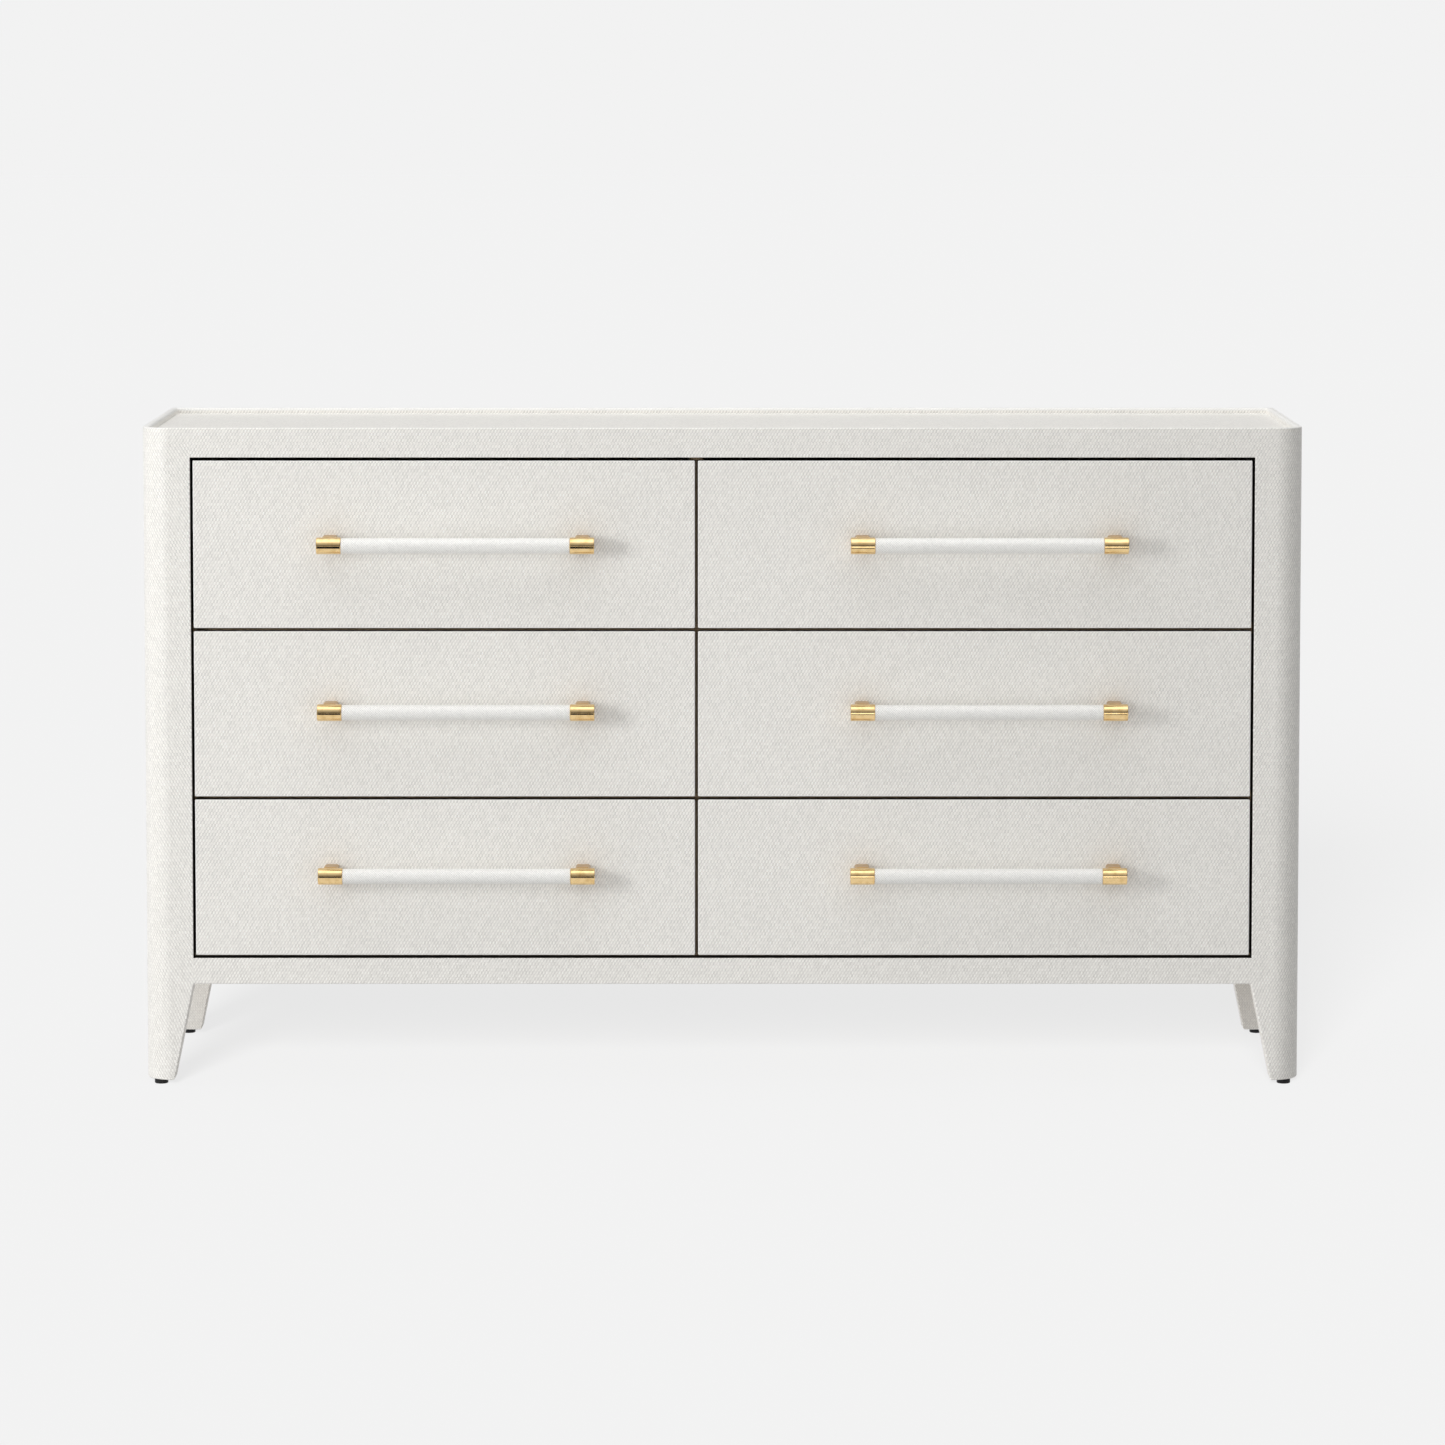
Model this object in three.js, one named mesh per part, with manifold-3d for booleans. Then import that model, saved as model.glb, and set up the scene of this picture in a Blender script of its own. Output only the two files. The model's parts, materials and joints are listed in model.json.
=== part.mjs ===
// A six-drawer dresser: a cloth-wrapped case on four tapered legs, with a shallow tray top,
// two columns of three drawers, and on each drawer a wrapped bar handle with brass ends.
//
// Units are millimetres. +X is to the right of someone facing the drawers, +Y runs to the back
// and +Z is up. The origin is on the floor, at the middle of the whole piece, handles included.

import * as THREE from 'three';
import { mergeVertices } from 'three/addons/utils/BufferGeometryUtils.js';
import Module from 'manifold-3d';

const wasm = await Module();
wasm.setup();

// ---- driving dimensions ----

const FIT_GAP = 0.3; // between pieces that are glued or screwed face to face
const SLIDE_GAP = 0.5; // between a drawer and the board that it runs on

const CASE_WIDTH = 1524;
const CASE_DEPTH = 457;
const CASE_HEIGHT = 870;
const CASE_BOTTOM = 135; // underside of the rails and side panels, above the floor

const TRAY_TOP_THICKNESS = 20;
const RIM_WIDTH = 9;
const RIM_HEIGHT = 8;
const FRONT_CORNER_RADIUS = 36;
const REAR_CORNER_RADIUS = 4;
const SMALLEST_RADIUS = 1; // of an inner corner

const POST_WIDTH = 64;
const POST_DEPTH = 42;
const FOOT_WIDTH = 38;
const FOOT_DEPTH = 38;
const FOOT_BEVEL = 2;
const GLIDE_HEIGHT = 6.2;
const GLIDE_RADIUS = 9;
const GLIDE_ROUNDING = 1.5;

const RAIL_DEPTH = 24;
const TOP_RAIL_BOTTOM = 831;
const SIDE_PANEL_THICKNESS = 20;
const BOTTOM_PANEL_THICKNESS = 18;
const PARTITION_THICKNESS = 18;
const DUST_PANEL_THICKNESS = 15;
const BACK_PANEL_THICKNESS = 6;
const BACK_PANEL_INSET = 5;

const DRAWER_HEIGHTS = [221, 219, 207]; // fronts, from the top row down
const DRAWER_GAP = 3.6; // above and below every front
const SEAM_X = -34.2; // middle of the upright gap between the two columns
const SEAM_GAP = 3.4;
const SIDE_GAP = 3.2;
const FRONT_THICKNESS = 20;

const BOX_BOARD = 12; // sides and back of a drawer box
const BOX_LENGTH = 410;
const BOX_CLEARANCE = 6; // between a box side and the post or partition beside it
const BOX_HEADROOM = 8; // between a box's top edge and the board above it
const BOX_BACK_DROP = 8; // how far the back stops below the sides
const BOX_BOTTOM_THICKNESS = 6;
const BOX_BOTTOM_RISE = 10; // from the lower edge of the sides to the bottom board

const HANDLE_LENGTH = 363;
const HANDLE_OFFSET = 349; // a handle's middle, from the middle of the case
const HANDLE_HEIGHTS = [718, 499, 283]; // above the floor, from the top row down
const HANDLE_STANDOFF = 36; // from a drawer's face to the middle of its bar
const CAP_LENGTH = 32;
const CAP_RADIUS = 11;
const HANDLE_POST_RADIUS = 10;
const ROD_RADIUS = 7;
const WRAP_RADIUS = 10;

const ROUND_SEGMENTS = 24; // in a full turn
const FRONT_CORNER_SEGMENTS = 8; // in a quarter turn
const REAR_CORNER_SEGMENTS = 2;

// ---- places worked out from the dimensions ----

const HALF_WIDTH = CASE_WIDTH / 2;
const OVERALL_DEPTH = CASE_DEPTH + HANDLE_STANDOFF + CAP_RADIUS;
const BACK_Y = OVERALL_DEPTH / 2;
const FRONT_Y = BACK_Y - CASE_DEPTH;
const TRAY_UNDERSIDE = CASE_HEIGHT - TRAY_TOP_THICKNESS;
const POST_TOP = TRAY_UNDERSIDE - FIT_GAP;
const OPENING_HALF = HALF_WIDTH - POST_WIDTH;
const INNER_FRONT_Y = FRONT_Y + RAIL_DEPTH + FIT_GAP;
const BACK_PANEL_Y = BACK_Y - BACK_PANEL_INSET - BACK_PANEL_THICKNESS;
const INNER_BACK_Y = BACK_PANEL_Y - FIT_GAP;
const HALVING_Y = (INNER_FRONT_Y + INNER_BACK_Y) / 2;

// Each row's front, from its lower to its upper edge. `edge` is what the next gap hangs from.
const rows = [];
let edge = TOP_RAIL_BOTTOM;
for (const height of DRAWER_HEIGHTS) {
  const top = edge - DRAWER_GAP;
  rows.push({ top, bottom: top - height });
  edge = top - height;
}
const BOTTOM_RAIL_TOP = edge - DRAWER_GAP;
const BOTTOM_PANEL_TOP = edge - FIT_GAP;
const dustPanels = [rows[0], rows[1]].map((row) => {
  const middle = row.bottom - DRAWER_GAP / 2;
  return { top: middle + DUST_PANEL_THICKNESS / 2, bottom: middle - DUST_PANEL_THICKNESS / 2 };
});

// ---- finishes ----

function finish(color, roughness, metalness = 0) {
  return new THREE.MeshStandardMaterial({ color, roughness, metalness });
}

const wrappedCloth = finish(0xe2dfd8, 0.55);
const drawerWood = finish(0xd9c4a0, 0.6);
const innerWood = finish(0xcdb48c, 0.65);
const brass = finish(0xc9a25e, 0.28, 1);
const blackPlastic = finish(0x141414, 0.5);

// ---- shape helpers ----

const dresser = new THREE.Group();

function add(name, geometry, material) {
  const mesh = new THREE.Mesh(geometry, material);
  mesh.name = name;
  dresser.add(mesh);
}

// A square-edged board between two limits on each axis.
function board([x0, x1], [y0, y1], [z0, z1]) {
  const geometry = new THREE.BoxGeometry(x1 - x0, y1 - y0, z1 - z0);
  return geometry.translate((x0 + x1) / 2, (y0 + y1) / 2, (z0 + z1) / 2);
}

function outline(points) {
  return new THREE.Shape(points.map(([x, y]) => new THREE.Vector2(x, y)));
}

// A flat plate with its outline in plan.
function plate(points, [z0, z1]) {
  const geometry = new THREE.ExtrudeGeometry(outline(points), { depth: z1 - z0, bevelEnabled: false });
  return geometry.translate(0, 0, z0);
}

// A cylinder that runs along X or Y.
function rod(axis, radius, from, to, centre) {
  const length = to - from;
  const geometry = new THREE.CylinderGeometry(radius, radius, length, ROUND_SEGMENTS);
  if (axis === 'x') {
    geometry.rotateZ(-Math.PI / 2).translate((from + to) / 2, centre[0], centre[1]);
  } else {
    geometry.translate(centre[0], (from + to) / 2, centre[1]);
  }
  return geometry;
}

function toSolid(geometry) {
  const bare = geometry.clone();
  bare.deleteAttribute('normal');
  bare.deleteAttribute('uv');
  const merged = mergeVertices(bare, 1e-4);
  const vertProperties = new Float32Array(merged.attributes.position.array);
  const triVerts = new Uint32Array(merged.index.array);
  return new wasm.Manifold(new wasm.Mesh({ numProp: 3, vertProperties, triVerts }));
}

function toGeometry(solid) {
  const { vertProperties, triVerts } = solid.getMesh();
  const geometry = new THREE.BufferGeometry();
  geometry.setAttribute('position', new THREE.BufferAttribute(vertProperties, 3));
  geometry.setIndex(new THREE.BufferAttribute(triVerts, 1));
  return geometry;
}

function joined(geometries) {
  const [first, ...rest] = geometries.map(toSolid);
  return toGeometry(rest.reduce((whole, next) => whole.add(next), first));
}

// An upright outer corner of the case: a large round one in front, an eased one behind.
function cornerShape(isFront) {
  return isFront
    ? { radius: FRONT_CORNER_RADIUS, segments: FRONT_CORNER_SEGMENTS }
    : { radius: REAR_CORNER_RADIUS, segments: REAR_CORNER_SEGMENTS };
}

// The plan of the whole case, drawn `inset` inside its outer faces: round corners in front
// and almost square ones behind. The points run anticlockwise from the front right corner.
function casePlan(inset) {
  const corners = [
    { sideX: 1, isFront: true, start: -Math.PI / 2 },
    { sideX: 1, isFront: false, start: 0 },
    { sideX: -1, isFront: false, start: Math.PI / 2 },
    { sideX: -1, isFront: true, start: Math.PI },
  ];
  const points = [];
  for (const { sideX, isFront, start } of corners) {
    const { radius, segments } = cornerShape(isFront);
    const r = Math.max(radius - inset, SMALLEST_RADIUS);
    const centreX = sideX * (HALF_WIDTH - inset - r);
    const centreY = isFront ? FRONT_Y + inset + r : BACK_Y - inset - r;
    for (let i = 0; i <= segments; i += 1) {
      const angle = start + (i / segments) * (Math.PI / 2);
      points.push([centreX + r * Math.cos(angle), centreY + r * Math.sin(angle)]);
    }
  }
  return points;
}

// One level of a post: a rectangle measured inwards from the case's corner, whose outer corner
// is rounded. `trim` draws the whole outline in for the bevel under the foot.
function postSection(width, depth, { radius, segments }, trim) {
  const r = radius - trim;
  const points = [];
  for (let i = 0; i <= segments; i += 1) {
    const angle = (i / segments) * (Math.PI / 2);
    points.push([radius - r * Math.sin(angle), radius - r * Math.cos(angle)]);
  }
  points.push([trim, depth - trim], [width - trim, depth - trim], [width - trim, trim]);
  return points;
}

// A post that is straight beside the drawers and tapers on its two inner faces below them.
function post(sideX, isFront) {
  const corner = cornerShape(isFront);
  const footZ = GLIDE_HEIGHT + FIT_GAP;
  const levels = [
    { z: footZ, section: postSection(FOOT_WIDTH, FOOT_DEPTH, corner, FOOT_BEVEL) },
    { z: footZ + FOOT_BEVEL, section: postSection(FOOT_WIDTH, FOOT_DEPTH, corner, 0) },
    { z: CASE_BOTTOM, section: postSection(POST_WIDTH, POST_DEPTH, corner, 0) },
    { z: POST_TOP, section: postSection(POST_WIDTH, POST_DEPTH, corner, 0) },
  ];
  const ySign = isFront ? 1 : -1;
  const cornerY = isFront ? FRONT_Y : BACK_Y;
  const count = levels[0].section.length;
  const positions = [];
  for (const { z, section } of levels) {
    for (const [u, v] of section) {
      positions.push(sideX * (HALF_WIDTH - u), cornerY + ySign * v, z);
    }
  }
  const triangles = [];
  for (let level = 0; level + 1 < levels.length; level += 1) {
    for (let i = 0; i < count; i += 1) {
      const a = level * count + i;
      const b = level * count + ((i + 1) % count);
      triangles.push([a, b, b + count], [a, b + count, a + count]);
    }
  }
  const last = (levels.length - 1) * count;
  for (let i = 1; i + 1 < count; i += 1) {
    triangles.push([0, i + 1, i], [last, last + i, last + i + 1]);
  }
  // Mirroring a section across one axis turns its faces inside out, so they are turned back.
  const isFlipped = sideX * ySign < 0;
  const index = triangles.flatMap(([a, b, c]) => (isFlipped ? [a, c, b] : [a, b, c]));
  const geometry = new THREE.BufferGeometry();
  geometry.setAttribute('position', new THREE.Float32BufferAttribute(positions, 3));
  geometry.setIndex(index);
  return geometry;
}

// ---- case ----

// The tray top is one board with a shallow recess, which leaves a thin rim all round.
function trayTop() {
  const whole = toSolid(plate(casePlan(0), [TRAY_UNDERSIDE, CASE_HEIGHT]));
  const recess = toSolid(plate(casePlan(RIM_WIDTH), [CASE_HEIGHT - RIM_HEIGHT, CASE_HEIGHT + 1]));
  return toGeometry(whole.subtract(recess));
}

function glide(sideX, isFront) {
  const profile = [
    [0, 0],
    [GLIDE_RADIUS - GLIDE_ROUNDING, 0],
    [GLIDE_RADIUS, GLIDE_ROUNDING],
    [GLIDE_RADIUS, GLIDE_HEIGHT],
    [0, GLIDE_HEIGHT],
  ];
  const geometry = new THREE.LatheGeometry(profile.map(([r, z]) => new THREE.Vector2(r, z)), ROUND_SEGMENTS);
  const x = sideX * (HALF_WIDTH - FOOT_WIDTH / 2);
  const y = isFront ? FRONT_Y + FOOT_DEPTH / 2 : BACK_Y - FOOT_DEPTH / 2;
  return geometry.rotateX(Math.PI / 2).translate(x, y, 0);
}

// A board that fills the case in plan, notched round the four posts. A dust panel is also
// slotted from the back, where it is halved into the partition.
function levelBoard([z0, z1], isHalved) {
  const wide = HALF_WIDTH - SIDE_PANEL_THICKNESS - FIT_GAP;
  const narrow = OPENING_HALF - FIT_GAP;
  const frontNotch = FRONT_Y + POST_DEPTH + FIT_GAP;
  const rearNotch = BACK_Y - POST_DEPTH - FIT_GAP;
  const slotHalf = PARTITION_THICKNESS / 2 + FIT_GAP;
  const slot = [
    [SEAM_X + slotHalf, INNER_BACK_Y],
    [SEAM_X + slotHalf, HALVING_Y],
    [SEAM_X - slotHalf, HALVING_Y],
    [SEAM_X - slotHalf, INNER_BACK_Y],
  ];
  const right = [
    [narrow, INNER_FRONT_Y],
    [narrow, frontNotch],
    [wide, frontNotch],
    [wide, rearNotch],
    [narrow, rearNotch],
    [narrow, INNER_BACK_Y],
  ];
  const left = right.map(([x, y]) => [-x, y]).reverse();
  return plate([...right, ...(isHalved ? slot : []), ...left], [z0, z1]);
}

// The upright between the columns, slotted from the front to take the two dust panels.
function partition() {
  const points = [[INNER_FRONT_Y, BOTTOM_PANEL_TOP + FIT_GAP], [INNER_BACK_Y, BOTTOM_PANEL_TOP + FIT_GAP]];
  points.push([INNER_BACK_Y, POST_TOP], [INNER_FRONT_Y, POST_TOP]);
  for (const { top, bottom } of dustPanels) {
    points.push([INNER_FRONT_Y, top + FIT_GAP], [HALVING_Y + FIT_GAP, top + FIT_GAP]);
    points.push([HALVING_Y + FIT_GAP, bottom - FIT_GAP], [INNER_FRONT_Y, bottom - FIT_GAP]);
  }
  const options = { depth: PARTITION_THICKNESS, bevelEnabled: false };
  const geometry = new THREE.ExtrudeGeometry(outline(points), options);
  const upright = new THREE.Matrix4().makeBasis(
    new THREE.Vector3(0, 1, 0),
    new THREE.Vector3(0, 0, 1),
    new THREE.Vector3(1, 0, 0),
  );
  return geometry.applyMatrix4(upright).translate(SEAM_X - PARTITION_THICKNESS / 2, 0, 0);
}

const betweenPosts = [-OPENING_HALF + FIT_GAP, OPENING_HALF - FIT_GAP];
const railY = [FRONT_Y, FRONT_Y + RAIL_DEPTH];

add('tray_top', trayTop(), wrappedCloth);
add('top_front_rail', board(betweenPosts, railY, [TOP_RAIL_BOTTOM, POST_TOP]), wrappedCloth);
add('bottom_front_rail', board(betweenPosts, railY, [CASE_BOTTOM, BOTTOM_RAIL_TOP]), wrappedCloth);

for (const [side, sideX] of [['left', -1], ['right', 1]]) {
  for (const [end, isFront] of [['front', true], ['rear', false]]) {
    add(`${end}_${side}_post`, post(sideX, isFront), wrappedCloth);
    add(`${end}_${side}_glide`, glide(sideX, isFront), blackPlastic);
  }
  const outer = sideX * HALF_WIDTH;
  const inner = sideX * (HALF_WIDTH - SIDE_PANEL_THICKNESS);
  const panelX = [Math.min(outer, inner), Math.max(outer, inner)];
  const panelY = [FRONT_Y + POST_DEPTH + FIT_GAP, BACK_Y - POST_DEPTH - FIT_GAP];
  add(`${side}_side_panel`, board(panelX, panelY, [CASE_BOTTOM, POST_TOP]), wrappedCloth);
}

const bottomPanelZ = [BOTTOM_PANEL_TOP - BOTTOM_PANEL_THICKNESS, BOTTOM_PANEL_TOP];
add('bottom_panel', levelBoard(bottomPanelZ, false), innerWood);
['upper_dust_panel', 'lower_dust_panel'].forEach((name, i) => {
  add(name, levelBoard([dustPanels[i].bottom, dustPanels[i].top], true), innerWood);
});
add('centre_partition', partition(), innerWood);
const backPanelY = [BACK_PANEL_Y, BACK_PANEL_Y + BACK_PANEL_THICKNESS];
add('back_panel', board(betweenPosts, backPanelY, [CASE_BOTTOM, POST_TOP]), wrappedCloth);

// ---- drawers ----

// The brass of a handle: two posts, an end cap on each, and the rod between the caps that the
// wrapped sleeve is threaded on.
function handleFrame(centreX, centreZ) {
  const barY = FRONT_Y - HANDLE_STANDOFF;
  const left = centreX - HANDLE_LENGTH / 2;
  const right = centreX + HANDLE_LENGTH / 2;
  return joined([
    rod('x', CAP_RADIUS, left, left + CAP_LENGTH, [barY, centreZ]),
    rod('x', CAP_RADIUS, right - CAP_LENGTH, right, [barY, centreZ]),
    rod('x', ROD_RADIUS, left + CAP_LENGTH / 2, right - CAP_LENGTH / 2, [barY, centreZ]),
    rod('y', HANDLE_POST_RADIUS, barY, FRONT_Y - FIT_GAP, [left + CAP_LENGTH / 2, centreZ]),
    rod('y', HANDLE_POST_RADIUS, barY, FRONT_Y - FIT_GAP, [right - CAP_LENGTH / 2, centreZ]),
  ]);
}

function handleWrap(centreX, centreZ) {
  const bore = ROD_RADIUS + FIT_GAP;
  const half = HANDLE_LENGTH / 2 - CAP_LENGTH - FIT_GAP;
  const profile = [[bore, -half], [WRAP_RADIUS, -half], [WRAP_RADIUS, half], [bore, half], [bore, -half]];
  const geometry = new THREE.LatheGeometry(profile.map(([r, z]) => new THREE.Vector2(r, z)), ROUND_SEGMENTS);
  return geometry.rotateZ(-Math.PI / 2).translate(centreX, FRONT_Y - HANDLE_STANDOFF, centreZ);
}

// One drawer: a front, a five-board box behind it and its handle.
function addDrawer(name, front, box, handleX, handleZ) {
  const boxStart = FRONT_Y + FRONT_THICKNESS + FIT_GAP;
  const boxY = [boxStart, boxStart + BOX_LENGTH];
  const backY = [boxY[1] - BOX_BOARD, boxY[1]];
  const insideX = [box.x[0] + BOX_BOARD + FIT_GAP, box.x[1] - BOX_BOARD - FIT_GAP];
  const floorZ = box.z[0] + BOX_BOTTOM_RISE;
  const frontY = [FRONT_Y, FRONT_Y + FRONT_THICKNESS];
  add(`${name}_front`, board(front.x, frontY, front.z), wrappedCloth);
  add(`${name}_box_left`, board([box.x[0], box.x[0] + BOX_BOARD], boxY, box.z), drawerWood);
  add(`${name}_box_right`, board([box.x[1] - BOX_BOARD, box.x[1]], boxY, box.z), drawerWood);
  add(`${name}_box_back`, board(insideX, backY, [box.z[0], box.z[1] - BOX_BACK_DROP]), drawerWood);
  const floorY = [boxY[0], backY[0] - FIT_GAP];
  add(`${name}_box_bottom`, board(insideX, floorY, [floorZ, floorZ + BOX_BOTTOM_THICKNESS]), drawerWood);
  add(`${name}_handle_frame`, handleFrame(handleX, handleZ), brass);
  add(`${name}_handle_wrap`, handleWrap(handleX, handleZ), wrappedCloth);
}

const columns = [
  {
    side: 'left',
    frontX: [-OPENING_HALF + SIDE_GAP, SEAM_X - SEAM_GAP / 2],
    boxX: [-OPENING_HALF + BOX_CLEARANCE, SEAM_X - PARTITION_THICKNESS / 2 - BOX_CLEARANCE],
    handleX: -HANDLE_OFFSET,
  },
  {
    side: 'right',
    frontX: [SEAM_X + SEAM_GAP / 2, OPENING_HALF - SIDE_GAP],
    boxX: [SEAM_X + PARTITION_THICKNESS / 2 + BOX_CLEARANCE, OPENING_HALF - BOX_CLEARANCE],
    handleX: HANDLE_OFFSET,
  },
];

const rowNames = ['top', 'middle', 'bottom'];
const runsOn = [dustPanels[0].top, dustPanels[1].top, BOTTOM_PANEL_TOP];
const ceilings = [TOP_RAIL_BOTTOM, dustPanels[0].bottom, dustPanels[1].bottom];
rowNames.forEach((rowName, i) => {
  for (const { side, frontX, boxX, handleX } of columns) {
    const front = { x: frontX, z: [rows[i].bottom, rows[i].top] };
    const box = { x: boxX, z: [runsOn[i] + SLIDE_GAP, ceilings[i] - BOX_HEADROOM] };
    addDrawer(`${rowName}_${side}`, front, box, handleX, HANDLE_HEIGHTS[i]);
  }
});

export default dresser;
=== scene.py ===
"""A six-drawer dresser: ivory cloth-wrapped boards on four tapered legs, with brass-ended handles.

Everything is in metres. +X is to the right of someone facing the drawers, +Y runs to the back
and +Z is up, with the floor at zero.
"""

import json
import math

import bmesh
import bpy
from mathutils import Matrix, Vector

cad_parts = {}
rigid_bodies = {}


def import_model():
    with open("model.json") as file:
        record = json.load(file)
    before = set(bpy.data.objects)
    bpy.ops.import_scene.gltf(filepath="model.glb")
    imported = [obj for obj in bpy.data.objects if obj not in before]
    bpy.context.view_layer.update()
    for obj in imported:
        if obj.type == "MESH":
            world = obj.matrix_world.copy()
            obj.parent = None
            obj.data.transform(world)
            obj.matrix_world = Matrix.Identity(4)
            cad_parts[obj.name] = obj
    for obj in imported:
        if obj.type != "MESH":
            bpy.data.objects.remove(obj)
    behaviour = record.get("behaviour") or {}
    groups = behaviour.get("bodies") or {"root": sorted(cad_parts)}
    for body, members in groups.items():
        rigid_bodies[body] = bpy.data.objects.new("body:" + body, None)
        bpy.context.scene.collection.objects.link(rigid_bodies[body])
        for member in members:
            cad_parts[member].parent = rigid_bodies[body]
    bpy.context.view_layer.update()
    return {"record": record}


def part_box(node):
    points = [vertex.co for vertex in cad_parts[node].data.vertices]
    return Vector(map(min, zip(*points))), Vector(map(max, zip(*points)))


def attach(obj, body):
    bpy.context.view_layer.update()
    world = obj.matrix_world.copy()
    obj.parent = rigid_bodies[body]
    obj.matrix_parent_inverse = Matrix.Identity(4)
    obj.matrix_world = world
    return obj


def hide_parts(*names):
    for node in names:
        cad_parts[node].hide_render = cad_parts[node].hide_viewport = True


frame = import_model()

# ---- Tray top ----
# One board with a shallow recess, which leaves a narrow rim all round it. It is wrapped in one
# sheet of woven cloth, lacquered ivory, and glued down over the rails, panels and posts.

MM = 0.001
EASING = 1.4 * MM  # how far the cloth rounds every outer edge of a board
FRONT_CORNER_RADIUS = 36 * MM
REAR_CORNER_RADIUS = 4 * MM
RIM_WIDTH = 9 * MM
RIM_HEIGHT = 8 * MM
RIM_ROUNDING = 3.6 * MM  # of the rim's inner edge, where the cloth rolls into the recess
CORNER_STEPS = 16  # flats that make up a large round corner
EDGE_STEPS = 4  # flats that make up a small one, or an eased edge
SHARP_ANGLE = 40  # degrees between two faces, from which the edge between them shows
THREAD = 2.1 * MM  # from one upright thread of the cloth to the next
PICK = 4.0 * MM  # from one level thread to the next
CLOTH_LEAN = 0.13  # how far the upright threads lean, as a share of their length
CLOTH_TINT = (0.955, 0.935, 0.888, 1.0)
# Lighter tint of the cloth on rims and rolled edges: a painted highlight where they catch the light.
ROLLED_HIGHLIGHT_TINT = (1.0, 0.99, 0.96, 1.0)
ROLLED_HIGHLIGHT = 1  # place of the rolled cloth, with its painted highlight, among the tray's materials

tray_low, tray_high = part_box("tray_top")
case_left, case_right = tray_low.x, tray_high.x
case_front, case_back = tray_low.y, tray_high.y


class Channel:
    """One output of a shader node. Sums and products of channels add Math nodes to its tree."""

    def __init__(self, socket):
        self.socket = socket

    def maths(self, operation, *inputs):
        settings = {"operation": operation}
        return add_node(self.socket.id_data, "Math", settings, dict(enumerate(inputs)))["Value"]

    def __add__(self, other):
        return self.maths("ADD", self, other)

    def __sub__(self, other):
        return self.maths("SUBTRACT", self, other)

    def __rsub__(self, other):
        return self.maths("SUBTRACT", other, self)

    def __mul__(self, other):
        return self.maths("MULTIPLY", self, other)

    def __truediv__(self, other):
        return self.maths("DIVIDE", self, other)

    def __mod__(self, other):
        return self.maths("FLOORED_MODULO", self, other)

    __radd__ = __add__
    __rmul__ = __mul__

    def floor(self):
        return self.maths("FLOOR", self)

    def cosine(self):
        return self.maths("COSINE", self)

    def between(self, low, high):
        """0 where the channel is at low, 1 at high, and limited to that range."""
        inputs = {"Value": self, "From Min": low, "From Max": high}
        return add_node(self.socket.id_data, "MapRange", {"clamp": True}, inputs)["Result"]


def add_node(tree, kind, settings, inputs):
    """Adds one shader node and returns its outputs as channels, by name."""
    node = tree.nodes.new("ShaderNode" + kind)
    for name, value in settings.items():
        setattr(node, name, value)
    for name, value in inputs.items():
        if isinstance(value, Channel):
            tree.links.new(value.socket, node.inputs[name])
        else:
            node.inputs[name].default_value = value
    return {output.name: Channel(output) for output in node.outputs if output.enabled}


def mixed(tree, first, second, share, blend="MIX"):
    """A colour between two others, or one multiplied by the other."""
    settings = {"data_type": "RGBA", "blend_type": blend}
    return add_node(tree, "Mix", settings, {0: share, 6: first, 7: second})["Result"]


def new_material(name):
    """An empty material's node tree, with only the surface shader in it."""
    material = bpy.data.materials.new(name)
    material.use_nodes = True
    tree = material.node_tree
    return material, tree, tree.nodes["Principled BSDF"]


def feed(tree, shader, **channels):
    """Links what varies over a surface into the surface shader."""
    for name, channel in channels.items():
        tree.links.new(channel.socket, shader.inputs[name.replace("_", " ")])


def noise(tree, place, scale, detail, **more):
    """Soft random blotches, about 1 / scale across."""
    inputs = {"Vector": place, "Scale": scale, "Detail": detail, **more}
    return add_node(tree, "TexNoise", {}, inputs)["Fac"]


def bumped(tree, height, strength, distance):
    """The way a surface faces once a height is raised on it."""
    inputs = {"Strength": strength, "Distance": distance, "Height": height}
    return add_node(tree, "Bump", {}, inputs)["Normal"]


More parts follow.
